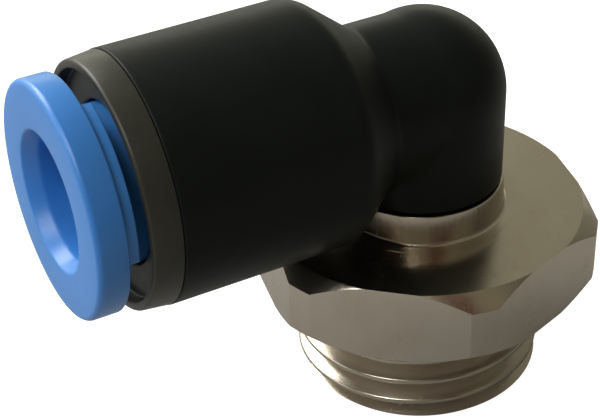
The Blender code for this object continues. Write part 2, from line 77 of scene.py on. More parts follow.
# ---------------------------------------------------------------- sizes of the design
THREAD_R = 13.12 * MM / 2
THREAD_PITCH = 1.337 * MM
THREAD_DEPTH = 0.85 * MM
THREAD_CREST = 0.22 * MM
THREAD_FLANK = 27.5 * DEGREE
THREAD_CREST_DROP = 2.63 * MM
THREAD_SUNK = 0.06 * MM
THREAD_END_CHAMFER = 0.53 * MM
RELIEF_LENGTH = 1.20 * MM
HEX_ACROSS_FLATS = 16.98 * MM
HEX_HEIGHT = 4.25 * MM
HEX_TURN = 48.8 * DEGREE
HEX_FACE_R = 8.60 * MM
HEX_CORNER_R = 9.42 * MM
HEX_CHAMFER_SLOPE = 43 * DEGREE
FLOW_R = 2.0 * MM
PORT_R = 3.3 * MM
PORT_DEPTH = 6.2 * MM
PORT_CONE = 59 * DEGREE
NECK_TOP = 5.95 * MM
FOOT_GAP = 0.15 * MM
SPIGOT_R = 3.24 * MM
TUBE_BORE_R = 3.08 * MM
SLEEVE_R = 3.93 * MM
CATCH_R = 4.26 * MM
RIB_R = 5.62 * MM
RIB_START = 104.0 * DEGREE
RIB_SPAN = 82.5 * DEGREE
FLANGE_THICKNESS = 1.58 * MM
RIB_LENGTH = 0.55 * MM
COLLAR_TAPER = 0.15 * MM
COLLAR_RECESS_R = 5.72 * MM
COLLAR_RECESS_DEPTH = 0.70 * MM
COLLAR_LIP_R = 4.03 * MM
COLLAR_CHAMBER_R = 4.36 * MM
COLLAR_NOSE_R = 5.06 * MM
CARTRIDGE_R = 5.21 * MM
SEAL_CHAMBER_R = 4.71 * MM
SHOULDER_REACH = 3.75 * MM
SHOULDER_SLOPE = 39 * DEGREE
SHOULDER_ROUND = 1.6 * MM
VALLEY_ROUND = 0.7 * MM
ARM_INSET = 0.08 * MM
MELT = 0.9 * MM
TRIMMED = 0.6 * MM
GROOVE_PLAY = 0.05 * MM
CLAWS = 8

ARM_R = ELBOW_R - ARM_INSET
ELBOW_FOOT = NECK_TOP + FOOT_GAP

TUBE_AXIS = Matrix.Translation((0, 0, TUBE_AXIS_HEIGHT)) @ Matrix.Rotation(-FULL_TURN / 4, 4, "Y")
FINE_STEPS = 160
BORE_STEPS = 96


# ---------------------------------------------------------------- shaping
def rounded(corners):
    """Points of an outline. A corner's third value is its radius, and its fourth the arc's steps."""
    points = []
    for index, (x, y, *rounding) in enumerate(corners):
        here = Vector((x, y))
        if not rounding:
            points.append(here)
            continue
        radius = rounding[0]
        steps = rounding[1] if len(rounding) > 1 else 6
        back = (Vector(corners[index - 1][:2]) - here).normalized()
        ahead = (Vector(corners[(index + 1) % len(corners)][:2]) - here).normalized()
        half_angle = back.angle(ahead) / 2
        middle = here + (back + ahead).normalized() * radius / math.sin(half_angle)
        first = here + back * radius / math.tan(half_angle) - middle
        last = here + ahead * radius / math.tan(half_angle) - middle
        swing = -first.angle_signed(last)
        points += [middle + Matrix.Rotation(swing * step / steps, 2) @ first for step in range(steps + 1)]
    return points


def new_piece(name, bm, place=Matrix.Identity(4)):
    """Object whose place is in its mesh, with faces pointing out."""
    bmesh.ops.remove_doubles(bm, verts=bm.verts, dist=0.0005 * MM)
    bmesh.ops.recalc_face_normals(bm, faces=bm.faces)
    bm.transform(place)
    mesh = bpy.data.meshes.new(name)
    bm.to_mesh(mesh)
    bm.free()
    piece = bpy.data.objects.new(name, mesh)
    bpy.context.scene.collection.objects.link(piece)
    return piece


def turn_ring(name, corners, place=Matrix.Identity(4), steps=FINE_STEPS, start=0.0, span=FULL_TURN):
    """Piece turned around its own Z from a closed outline of (radius, height) that stays off the axis."""
    bm = bmesh.new()
    points = rounded(corners)
    verts = [bm.verts.new((p.x * math.cos(start), p.x * math.sin(start), p.y)) for p in points]
    edges = [bm.edges.new((verts[index - 1], vert)) for index, vert in enumerate(verts)]
    whole = span == FULL_TURN
    count = steps if whole else math.ceil(steps * span / FULL_TURN)
    spun = bmesh.ops.spin(bm, geom=edges, axis=(0, 0, 1), angle=span, steps=count, use_merge=whole)
    if not whole:
        bmesh.ops.contextual_create(bm, geom=edges)
        last = [item for item in spun["geom_last"] if isinstance(item, bmesh.types.BMEdge)]
        bmesh.ops.contextual_create(bm, geom=last)
    return new_piece(name, bm, place)


def turn_plug(name, corners, place=Matrix.Identity(4), steps=FINE_STEPS):
    """Piece turned around its own Z from an outline that starts and ends on the axis."""
    bm = bmesh.new()
    verts = [bm.verts.new((point.x, 0, point.y)) for point in rounded(corners)]
    edges = [bm.edges.new(pair) for pair in zip(verts, verts[1:])]
    bmesh.ops.spin(bm, geom=edges, axis=(0, 0, 1), angle=FULL_TURN, steps=steps, use_merge=True)
    return new_piece(name, bm, place)


def cord_section(radius, height, half, steps=20):
    """Outline of a round ring's section."""
    angles = [FULL_TURN * step / steps for step in range(steps)]
    return [(radius + half * math.cos(angle), height + half * math.sin(angle)) for angle in angles]


def combine(piece, operation, *tools):
    """Joins or cuts the piece with the tools, for good, and throws the tools away."""
    for tool in tools:
        step = piece.modifiers.new(operation, "BOOLEAN")
        step.operation = operation
        step.solver = "EXACT"
        step.object = tool
    settle(piece)
    for tool in tools:
        bpy.data.objects.remove(tool, do_unlink=True)
    return piece


def settle(piece):
    """Applies the piece's modifiers."""
    bpy.context.view_layer.update()
    shaped = piece.evaluated_get(bpy.context.evaluated_depsgraph_get())
    mesh = bpy.data.meshes.new_from_object(shaped)
    piece.modifiers.clear()
    piece.data = mesh


def ease_edges(piece, width, upright_width, sharpest=12 * DEGREE):
    """Rounds the upright edges, and then every other edge that is sharper than the angle."""
    bm = bmesh.new()
    bm.from_mesh(piece.data)
    bmesh.ops.remove_doubles(bm, verts=bm.verts, dist=0.002 * MM)
    bmesh.ops.dissolve_limit(bm, angle_limit=0.05 * DEGREE, verts=bm.verts, edges=bm.edges)
    for upright, offset, segments in ((True, upright_width, 5), (False, width, 3)):
        sharp = [edge for edge in bm.edges if edge.is_manifold and edge.calc_face_angle() > sharpest
                 and (abs((edge.verts[0].co - edge.verts[1].co).normalized().z) > 0.99) == upright]
        bmesh.ops.bevel(bm, geom=sharp, offset=offset, segments=segments, profile=0.5, affect="EDGES",
                        material=-1, clamp_overlap=True)
    bm.to_mesh(piece.data)
    bm.free()


def finish_piece(piece, body, slot, finish, *nodes, crease=32 * DEGREE):
    """Gives the piece its finish and its body, and hides the CAD nodes that it stands for."""
    piece.data.materials.clear()
    piece.data.materials.append(finish)
    piece.data.shade_smooth()
    piece.data.set_sharp_from_angle(angle=crease)
    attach(piece, body)
    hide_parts(*nodes)
    return piece


# ---------------------------------------------------------------- shader building
class Shader:
    """Short way to add nodes to a material or a group."""

    def __init__(self, tree):
        self.tree = tree

    def node(self, kind, inputs=None, **settings):
        made = self.tree.nodes.new(kind)
        for key, value in settings.items():
            setattr(made, key, value)
        for key, value in (inputs or {}).items():
            self.feed(made.inputs[key], value)
        return made

    def feed(self, socket, value):
        if isinstance(value, bpy.types.NodeSocket):
            self.tree.links.new(value, socket)
        else:
            socket.default_value = value

    def math(self, operation, *values, clamp=False):
        made = self.node("ShaderNodeMath", operation=operation, use_clamp=clamp)
        for socket, value in zip(made.inputs, values):
            self.feed(socket, value)
        return made.outputs[0]

    def mix(self, factor, low, high):
        made = self.node("ShaderNodeMix", data_type="RGBA")
        self.feed(made.inputs["Factor"], factor)
        self.feed(made.inputs["A"], low)
        self.feed(made.inputs["B"], high)
        return made.outputs["Result"]

    def noise(self, vector, scale, detail=3.0, roughness=0.5):
        made = self.node("ShaderNodeTexNoise", {"Vector": vector, "Scale": scale, "Detail": detail,
                                                "Roughness": roughness})
        return made.outputs["Fac"]

    def remap(self, value, low, high):
        """Zero at low, one at high."""
        ends = {"Value": value, "From Min": low, "From Max": high}
        made = self.node("ShaderNodeMapRange", ends, clamp=True)
        return made.outputs["Result"]


def new_group(name, inputs, outputs):
    """Empty shader group. Inputs are name: (socket kind, default value)."""
    tree = bpy.data.node_groups.new(name, "ShaderNodeTree")
    for label, (kind, value) in inputs.items():
        socket = tree.interface.new_socket(label, in_out="INPUT", socket_type=kind)
        socket.default_value = value
    for label, kind in outputs.items():
        tree.interface.new_socket(label, in_out="OUTPUT", socket_type=kind)
    shader = Shader(tree)
    source = tree.nodes.new("NodeGroupInput").outputs
    sink = tree.nodes.new("NodeGroupOutput").inputs
    return tree, shader, source, sink


FLOAT = "NodeSocketFloat"
COLOR = "NodeSocketColor"


def moulded_skin_group():
    """Moulded plastic: fine spark grain, broad uneven gloss, and a little dust that lightens it."""
    tree, nodes, source, sink = new_group(
        "moulded_skin",
        {"Color": (COLOR, (0.02, 0.02, 0.02, 1)), "Dust Color": (COLOR, (0.1, 0.1, 0.09, 1)),
         "Dust": (FLOAT, 0.1), "Roughness": (FLOAT, 0.4), "Gloss Spread": (FLOAT, 0.08),
         "Grain Size": (FLOAT, 9000.0)},
        {"Color": COLOR, "Roughness": FLOAT, "Height": FLOAT})
    place = nodes.node("ShaderNodeTexCoord").outputs["Object"]
    broad = nodes.noise(place, 260.0, 3.0)
    mid = nodes.noise(place, 1500.0, 4.0, 0.6)
    fine = nodes.noise(place, source["Grain Size"], 2.0, 0.6)
    speck = nodes.remap(nodes.noise(place, 2600.0, 4.0, 0.7), 0.56, 0.72)
    dust = nodes.math("ADD", nodes.math("MULTIPLY", speck, 0.6), nodes.remap(broad, 0.35, 0.7))
    dusty = nodes.math("MULTIPLY", source["Dust"], dust)
    nodes.feed(sink["Color"], nodes.mix(dusty, source["Color"], source["Dust Color"]))
    blotches = nodes.math("ADD", nodes.math("MULTIPLY", broad, 0.6), nodes.math("MULTIPLY", mid, 0.4))
    uneven = nodes.math("SUBTRACT", blotches, 0.5)
    rough = nodes.math("MULTIPLY_ADD", uneven, source["Gloss Spread"], source["Roughness"])
    nodes.feed(sink["Roughness"], rough)
    nodes.feed(sink["Height"], nodes.math("MULTIPLY_ADD", fine, 0.7, nodes.math("MULTIPLY", mid, 0.5)))
    return tree


def machined_skin_group():
    """Turned and milled metal: rings on level faces, upright streaks on walls, and cloudy tarnish."""
    tree, nodes, source, sink = new_group(
        "machined_skin",
        {"Color": (COLOR, (0.4, 0.37, 0.3, 1)), "Tarnish Color": (COLOR, (0.2, 0.14, 0.08, 1)),
         "Tarnish": (FLOAT, 0.3), "Roughness": (FLOAT, 0.25)},
        {"Color": COLOR, "Roughness": FLOAT, "Height": FLOAT})
    place = nodes.node("ShaderNodeTexCoord").outputs["Object"]
    split = nodes.node("ShaderNodeSeparateXYZ", {"Vector": place}).outputs
    facing = nodes.node("ShaderNodeTexCoord").outputs["Normal"]
    normal = nodes.node("ShaderNodeSeparateXYZ", {"Vector": facing}).outputs
    square = nodes.math("ADD", nodes.math("MULTIPLY", split["X"], split["X"]),
                        nodes.math("MULTIPLY", split["Y"], split["Y"]))
    radius = nodes.math("SQRT", square)
    level = nodes.remap(nodes.math("ABSOLUTE", normal["Z"]), 0.75, 0.95)
    ring_place = nodes.node("ShaderNodeCombineXYZ", {"X": radius, "Y": 0.0, "Z": 0.0}).outputs[0]
    rings = nodes.noise(ring_place, 9000.0, 3.0, 0.7)
    wall_place = nodes.node("ShaderNodeMapping", {"Vector": place, "Scale": (1.0, 1.0, 0.06)}).outputs[0]
    streaks = nodes.noise(wall_place, 5200.0, 4.0, 0.65)
    pattern = nodes.mix(level, streaks, rings)
    marks = nodes.node("ShaderNodeRGBToBW", {"Color": pattern}).outputs[0]
    cloud = nodes.noise(place, 420.0, 4.0, 0.6)
    spots = nodes.remap(nodes.noise(place, 2400.0, 3.0, 0.6), 0.58, 0.75)
    stains = nodes.math("ADD", nodes.remap(cloud, 0.4, 0.72), nodes.math("MULTIPLY", spots, 0.5))
    dull = nodes.math("MULTIPLY", source["Tarnish"], stains)
    nodes.feed(sink["Color"], nodes.mix(dull, source["Color"], source["Tarnish Color"]))
    rough = nodes.math("MULTIPLY_ADD", nodes.math("SUBTRACT", marks, 0.5), 0.22, source["Roughness"])
    nodes.feed(sink["Roughness"], nodes.math("MULTIPLY_ADD", dull, 0.25, rough, clamp=True))
    nodes.feed(sink["Height"], marks)
    return tree


GROUPS = {}


def skin(name, make, settings, bump, strength, **principled):
    """Material with one skin group in front of a Principled shader. Bump is the mark's depth in metres."""
    finish = bpy.data.materials.new(name)
    finish.use_nodes = True
    nodes = Shader(finish.node_tree)
    shader = finish.node_tree.nodes["Principled BSDF"]
    if make not in GROUPS:
        GROUPS[make] = make()
    group = nodes.node("ShaderNodeGroup", node_tree=GROUPS[make])
    for label, value in settings.items():
        group.inputs[label].default_value = value
    nodes.feed(shader.inputs["Base Color"], group.outputs["Color"])
    nodes.feed(shader.inputs["Roughness"], group.outputs["Roughness"])
    relief = nodes.node("ShaderNodeBump", {"Height": group.outputs["Height"], "Distance": bump,
                                           "Strength": strength})
    nodes.feed(shader.inputs["Normal"], relief.outputs["Normal"])
    for label, value in principled.items():
        shader.inputs[label.replace("_", " ")].default_value = value
    return finish


def black_moulding():
    return skin("black_moulding", moulded_skin_group,
                {"Color": (0.0060, 0.0080, 0.0080, 1), "Dust Color": (0.026, 0.030, 0.025, 1), "Dust": 0.10,
                 "Roughness": 0.42, "Gloss Spread": 0.20}, 0.006 * MM, 0.5, Specular_IOR_Level=0.12)


def grey_collar():
    return skin("grey_collar", moulded_skin_group,
                {"Color": (0.021, 0.022, 0.017, 1), "Dust Color": (0.090, 0.088, 0.064, 1), "Dust": 0.16,
                 "Roughness": 0.38, "Gloss Spread": 0.25}, 0.006 * MM, 0.5, Specular_IOR_Level=0.35)


def blue_acetal():
    return skin("blue_acetal", moulded_skin_group,
                {"Color": (0.036, 0.215, 0.620, 1), "Dust Color": (0.13, 0.27, 0.58, 1), "Dust": 0.10,
                 "Roughness": 0.34, "Gloss Spread": 0.10}, 0.004 * MM, 0.35,
                Subsurface_Weight=0.25, Subsurface_Radius=(0.3, 0.7, 1.4), Subsurface_Scale=0.0006)


def natural_acetal():
    return skin("natural_acetal", moulded_skin_group,
                {"Color": (0.62, 0.60, 0.54, 1), "Dust Color": (0.45, 0.43, 0.38, 1), "Dust": 0.2,
                 "Roughness": 0.40, "Gloss Spread": 0.12}, 0.004 * MM, 0.4)


def black_rubber():
    return skin("black_rubber", moulded_skin_group,
                {"Color": (0.014, 0.014, 0.015, 1), "Dust Color": (0.07, 0.07, 0.068, 1), "Dust": 0.3,
                 "Roughness": 0.62, "Gloss Spread": 0.2}, 0.008 * MM, 0.7)


def nickel_plate():
    return skin("nickel_plate", machined_skin_group,
                {"Color": (0.560, 0.505, 0.430, 1), "Tarnish Color": (0.36, 0.27, 0.18, 1), "Tarnish": 0.22,
                 "Roughness": 0.21}, 0.003 * MM, 0.30, Metallic=1.0)


def spring_steel():
    return skin("spring_steel", machined_skin_group,
                {"Color": (0.50, 0.50, 0.49, 1), "Tarnish Color": (0.30, 0.28, 0.25, 1), "Tarnish": 0.2,
                 "Roughness": 0.22}, 0.003 * MM, 0.3, Metallic=1.0)


# ---------------------------------------------------------------- stud
def hexagon_bar():
    """Six-sided bar, longer than the hexagon by the same length at both ends."""
    corner_r = HEX_ACROSS_FLATS / 2 / math.cos(FULL_TURN / 12)
    past = 1 * MM
    bm = bmesh.new()
    bmesh.ops.create_circle(bm, cap_ends=True, segments=6, radius=corner_r)
    bmesh.ops.rotate(bm, verts=bm.verts, matrix=Matrix.Rotation(HEX_TURN, 3, "Z"))
    bmesh.ops.translate(bm, verts=bm.verts, vec=(0, 0, -past))
    grown = bmesh.ops.extrude_face_region(bm, geom=list(bm.faces), use_keep_orig=True)
    top = [item for item in grown["geom"] if isinstance(item, bmesh.types.BMVert)]
    bmesh.ops.translate(bm, verts=top, vec=(0, 0, HEX_HEIGHT + 2 * past))
    return new_piece("hexagon_bar", bm)


def hexagon():
    """Hexagon with turned corners, chamfered faces, the seal's recess and eased edges."""
    drop = (HEX_CORNER_R - HEX_FACE_R) * math.tan(HEX_CHAMFER_SLOPE)
    inner_r = 3.85 * MM
    recess_r = 6.92 * MM
    recess_top = 0.90 * MM
    ring = turn_ring("hexagon", [
        (inner_r, recess_top), (recess_r, recess_top, 0.15 * MM), (recess_r, 0),
        (HEX_FACE_R, 0), (HEX_CORNER_R, drop),
        (HEX_CORNER_R, HEX_HEIGHT - drop), (HEX_FACE_R, HEX_HEIGHT), (inner_r, HEX_HEIGHT)])
    combine(ring, "INTERSECT", hexagon_bar())
    ease_edges(ring, 0.08 * MM, 0.20 * MM)
    return ring


def thread_ridge():
    """Rounded ridge of the pipe thread, trimmed at the relief and the chamfered end."""
    inner_r = THREAD_R - THREAD_DEPTH - THREAD_SUNK
    half_inner = THREAD_CREST / 2 + (THREAD_R - inner_r) * math.tan(THREAD_FLANK)
    half_crest = THREAD_CREST / 2
    turns_below = math.ceil((-THREAD_END - THREAD_CREST_DROP) / THREAD_PITCH) + 1
    start = -THREAD_CREST_DROP - turns_below * THREAD_PITCH
    steps_per_turn = 96
    steps = math.ceil(-start / THREAD_PITCH * steps_per_turn)
    crest_round = 0.14 * MM
    section = rounded([(inner_r, -half_inner), (THREAD_R, -half_crest, crest_round, 4),
                       (THREAD_R, half_crest, crest_round, 4), (inner_r, half_inner)])
    bm = bmesh.new()
    face = bm.faces.new([bm.verts.new((point.x, 0, start + point.y)) for point in section])
    bmesh.ops.spin(bm, geom=[face], axis=(0, 0, 1), dvec=(0, 0, THREAD_PITCH / steps_per_turn),
                   angle=FULL_TURN * steps / steps_per_turn, steps=steps)
    ridge = new_piece("thread_ridge", bm)
    room_r = inner_r - 0.5 * MM
    outer_r = THREAD_R + 0.05 * MM
    end = THREAD_END + THREAD_SUNK
    room = turn_ring("thread_room", [
        (room_r, end), (THREAD_R - THREAD_END_CHAMFER, end, 0.08 * MM, 3),
        (outer_r, end + outer_r - THREAD_R + THREAD_END_CHAMFER),
        (outer_r, -RELIEF_LENGTH - (outer_r - THREAD_R + THREAD_DEPTH) / 2),
        (room_r, -RELIEF_LENGTH + (THREAD_R - THREAD_DEPTH - room_r) / 2)])
    return combine(ridge, "INTERSECT", room)


def threaded_stud(finish):
    """Thread, hexagon, filleted neck, and the grooved spigot that the elbow turns on."""
    root_r = THREAD_R - THREAD_DEPTH
    neck_low_r = 4.45 * MM
    neck_high_r = 4.38 * MM
    fillet = 0.22 * MM
    skirt_r = neck_low_r + 3 * fillet
    skirt_top = HEX_HEIGHT + 0.012 * MM
    middle = HEX_HEIGHT / 2
    snap_r = SPIGOT_R - 0.35 * MM
    ring_r = 2.5 * MM
    snap_low, snap_high = SNAP_LOW.z - GROOVE_PLAY, SNAP_HIGH.z + GROOVE_PLAY
    ring_low, ring_high = SWIVEL_LOW.z - GROOVE_PLAY, SWIVEL_HIGH.z + GROOVE_PLAY
    cone_top = THREAD_END + PORT_DEPTH + (PORT_R - FLOW_R) / math.tan(PORT_CONE)
    stud = turn_ring("threaded_stud_turned", [
        (PORT_R, THREAD_END, 0.2 * MM, 2), (root_r, THREAD_END, 0.12 * MM, 2), (root_r, middle),
        (skirt_r, middle), (skirt_r, skirt_top),
        (neck_low_r, skirt_top, fillet, 6), (neck_high_r, NECK_TOP, 0.08 * MM, 3),
        (SPIGOT_R, NECK_TOP), (SPIGOT_R, snap_low), (snap_r, snap_low), (snap_r, snap_high),
        (SPIGOT_R, snap_high), (SPIGOT_R, ring_low), (ring_r, ring_low), (ring_r, ring_high),
        (SPIGOT_R, ring_high), (SPIGOT_R, SPIGOT_TOP, 0.2 * MM, 2), (FLOW_R, SPIGOT_TOP, 0.1 * MM, 2),
        (FLOW_R, cone_top), (PORT_R, THREAD_END + PORT_DEPTH)])
    combine(stud, "UNION", hexagon(), thread_ridge())
    return finish_piece(stud, "stud", "nickel_plated_brass", finish, "threaded_stud", crease=28 * DEGREE)


def face_seal(finish):
    half = (FACE_SEAL_HIGH.z - FACE_SEAL_LOW.z) / 2
    middle = (FACE_SEAL_HIGH.z + FACE_SEAL_LOW.z) / 2
    ring = turn_ring("face_seal_ring", cord_section(FACE_SEAL_HIGH.x - half, middle, half))
    return finish_piece(ring, "stud", "black_rubber", finish, "face_seal")


def swivel_o_ring(finish):
    half = (SWIVEL_HIGH.z - SWIVEL_LOW.z) / 2
    middle = (SWIVEL_HIGH.z + SWIVEL_LOW.z) / 2
    ring = turn_ring("swivel_seal_ring", cord_section(SWIVEL_HIGH.x - half, middle, half))
    return finish_piece(ring, "stud", "black_rubber", finish, "swivel_o_ring")


def swivel_snap_ring(finish):
    """Split ring with rounded edges and a gap between its ends."""
    outer_r = SNAP_HIGH.x
    inner_r = SPIGOT_R - 0.30 * MM
    edge = 0.07 * MM
    ring = turn_ring("swivel_clip", [
        (inner_r, SNAP_LOW.z, edge, 2), (outer_r, SNAP_LOW.z, edge, 2),
        (outer_r, SNAP_HIGH.z, edge, 2), (inner_r, SNAP_HIGH.z, edge, 2)],
        start=200 * DEGREE, span=320 * DEGREE)
    return finish_piece(ring, "stud", "spring_steel", finish, "swivel_snap_ring")


# ---------------------------------------------------------------- elbow
def outline_distance(radius, height, corners):
    """Signed distance in the half plane from points to a closed outline, negative inside."""
    points = np.array([tuple(point) for point in rounded(corners)])
    best = np.full(radius.shape, np.inf)
    inside = np.zeros(radius.shape, bool)
    for (ax, ay), (bx, by) in zip(points, np.roll(points, -1, axis=0)):
        length = max((bx - ax) ** 2 + (by - ay) ** 2, 1e-18)
        along = np.clip(((radius - ax) * (bx - ax) + (height - ay) * (by - ay)) / length, 0, 1)
        best = np.minimum(best, np.hypot(radius - ax - along * (bx - ax), height - ay - along * (by - ay)))
        if ay != by:
            crosses = (ay > height) != (by > height)
            inside ^= crosses & (radius < (bx - ax) * (height - ay) / (by - ay) + ax)
    return np.where(inside, -best, best)


def smooth_union(first, second, blend):
    share = np.clip(0.5 + 0.5 * (second - first) / blend, 0, 1)
    return second + (first - second) * share - blend * share * (1 - share)


def socket_outline(past):
    """Outline of the arm and socket, running past the mouth by a length that a later cut takes off."""
    over_axis = -1 * MM
    start = -0.2 * MM
    shoulder_end = SHOULDER_REACH + (SOCKET_R - ARM_R) / math.tan(SHOULDER_SLOPE)
    return [(over_axis, start), (ARM_R, start), (ARM_R, SHOULDER_REACH, VALLEY_ROUND, 8),
            (SOCKET_R, shoulder_end, SHOULDER_ROUND, 12),
            (SOCKET_R, SOCKET_REACH + past), (over_axis, SOCKET_REACH + past)]


def elbow_distance(points):
    """Signed distance to the outside of the moulding: the socket and arm, melted into the domed leg."""
    least_melt = 0.03
    height = points[:, 2] - TUBE_AXIS_HEIGHT
    across = np.hypot(points[:, 1], height)
    socket = outline_distance(across, -points[:, 0], socket_outline(TRIMMED))
    above = np.maximum(height, 0)
    away = np.sqrt(points[:, 0] ** 2 + points[:, 1] ** 2 + above ** 2)
    facing = (points[:, 1] ** 2 + height * above) / np.maximum(across * away, 1e-9)
    leg = np.maximum(away - ELBOW_R, ELBOW_FOOT - TRIMMED - points[:, 2])
    return smooth_union(socket, leg, MELT * np.clip(1 + least_melt - facing, least_melt, 1))


def draw_to_surface(piece, distance, rounds=5):
    """Moves every vertex onto the zero of a distance function."""
    mesh = piece.data
    points = np.empty(len(mesh.vertices) * 3)
    mesh.vertices.foreach_get("co", points)
    points = points.reshape(-1, 3)
    reach = 0.002 * MM
    least_steep = 0.2
    for _ in range(rounds):
        here = distance(points)
        slope = np.stack([(distance(points + step) - distance(points - step)) / (2 * reach)
                          for step in np.eye(3) * reach], axis=1)
        steep = np.maximum((slope ** 2).sum(axis=1), least_steep)
        points -= slope * (here / steep)[:, None]
    mesh.vertices.foreach_set("co", points.ravel())
    mesh.update()


def elbow_room():
    """Space that trims the mouth and the foot of the moulding, with small rounds at both edges."""
    wide = 2 * SOCKET_R
    round_off = 0.09 * MM
    clear = round_off / 8
    mouth_back = SOCKET_REACH - 2 * round_off
    under_r = ELBOW_R + 1.75 * MM
    under_socket = ELBOW_FOOT - 1.95 * MM
    mouth = turn_plug("mouth_room", [
        (0, -wide), (wide, -wide), (wide, mouth_back), (SOCKET_R + clear, mouth_back),
        (SOCKET_R + clear, SOCKET_REACH, round_off, 4), (0, SOCKET_REACH)], TUBE_AXIS)
    foot = turn_plug("foot_room", [
        (0, ELBOW_FOOT), (ELBOW_R + clear, ELBOW_FOOT, round_off, 4),
        (ELBOW_R + clear, ELBOW_FOOT + 2 * round_off), (under_r, under_socket),
        (3 * wide, under_socket), (3 * wide, 3 * wide), (0, 3 * wide)])
    return mouth, foot


def elbow_outside():
    """Solid moulding: a voxel skin over socket and leg, drawn to the melted shape and trimmed."""
    outline = [(0, 0), *socket_outline(TRIMMED)[1:-1], (0, SOCKET_REACH + TRIMMED)]
    body = turn_plug("elbow_moulding", outline, TUBE_AXIS)
    top = TUBE_AXIS_HEIGHT + ELBOW_R
    foot = ELBOW_FOOT - TRIMMED
    leg = turn_plug("elbow_leg", [(0, foot), (ELBOW_R, foot), (ELBOW_R, top, ELBOW_R, 24), (0, top)])
    combine(body, "UNION", leg)
    skin_step = body.modifiers.new("skin", "REMESH")
    skin_step.mode = "VOXEL"
    skin_step.voxel_size = 0.17 * MM
    settle(body)
    draw_to_surface(body, elbow_distance)
    return combine(body, "INTERSECT", *elbow_room())


def elbow_bores():
    """Tools that open the leg for the spigot and its snap ring, and the socket for tube and cartridge."""
    past = 0.5 * MM
    flow_r = 2.1 * MM
    flow_top = TUBE_AXIS_HEIGHT + flow_r
    spigot_r, spigot_top = 3.34 * MM, SPIGOT_TOP + 0.15 * MM
    groove_inner_r, groove_r = 3.0 * MM, 3.69 * MM
    groove_low, groove_high = SNAP_LOW.z - GROOVE_PLAY, SNAP_HIGH.z + GROOVE_PLAY
    tube_stop, seal_floor, cartridge_floor = 4.6 * MM, 7.0 * MM, 9.25 * MM
    leg_bore = turn_plug("leg_bore", [
        (0, ELBOW_FOOT - past), (spigot_r, ELBOW_FOOT - past), (spigot_r, spigot_top), (flow_r, spigot_top),
        (flow_r, flow_top, flow_r, 12), (0, flow_top)], steps=BORE_STEPS)
    groove = turn_ring("snap_groove", [
        (groove_inner_r, groove_low), (groove_r, groove_low),
        (groove_r, groove_high), (groove_inner_r, groove_high)], steps=BORE_STEPS)
    socket_bore = turn_plug("socket_bore", [
        (0, 0), (FLOW_R, 0), (FLOW_R, tube_stop), (TUBE_BORE_R, tube_stop), (TUBE_BORE_R, seal_floor),
        (SEAL_CHAMBER_R, seal_floor), (SEAL_CHAMBER_R, cartridge_floor), (CARTRIDGE_R, cartridge_floor),
        (CARTRIDGE_R, SOCKET_REACH + past), (0, SOCKET_REACH + past)], TUBE_AXIS, steps=BORE_STEPS)
    return leg_bore, groove, socket_bore


def elbow_body(finish):
    """Moulded elbow, opened for the spigot, the tube and the cartridge."""
    body = combine(elbow_outside(), "DIFFERENCE", *elbow_bores())
    return finish_piece(body, "elbow", "black_moulding", finish, "elbow_body", crease=40 * DEGREE)


def tube_seal(finish):
    """Rubber ring with an inner lip and a groove in its open face."""
    start, end = -SEAL_HIGH.x, -SEAL_LOW.x
    outer_r = (SEAL_HIGH.y - SEAL_LOW.y) / 2
    inner_r = 3.32 * MM
    lip_r, lip_front, lip_back = 2.90 * MM, end - 0.42 * MM, end - 0.87 * MM
    groove_inner_r, groove_r, groove_outer_r = 3.74 * MM, 4.05 * MM, 4.32 * MM
    groove_floor = end - 0.55 * MM
    ring = turn_ring("tube_lip_seal", [
        (inner_r, start, 0.1 * MM, 3), (outer_r, start, 0.15 * MM, 3), (outer_r, end, 0.15 * MM, 3),
        (groove_outer_r, end, 0.1 * MM, 3), (groove_r, groove_floor, 0.12 * MM, 3),
        (groove_inner_r, end, 0.1 * MM, 3), (lip_r, lip_front, 0.2 * MM, 4), (lip_r, lip_back, 0.2 * MM, 4),
        (inner_r, end - 1.29 * MM)], TUBE_AXIS)
    return finish_piece(ring, "elbow", "black_rubber", finish, "tube_seal")


def seal_support_ring(finish):
    """Ring between the seal and the claws, with a cone for the claws."""
    start, end = -SUPPORT_HIGH.x, -SUPPORT_LOW.x
    outer_r = (SUPPORT_HIGH.y - SUPPORT_LOW.y) / 2
    bore_r = 3.13 * MM
    cone_r = 4.51 * MM
    ring = turn_ring("seal_support", [
        (bore_r, start, 0.08 * MM, 3), (outer_r, start, 0.1 * MM, 3), (outer_r, end, 0.06 * MM, 3),
        (cone_r, end, 0.05 * MM, 2), (bore_r, end - (cone_r - bore_r), 0.1 * MM, 3)], TUBE_AXIS)
    return finish_piece(ring, "elbow", "natural_acetal", finish, "seal_support_ring")


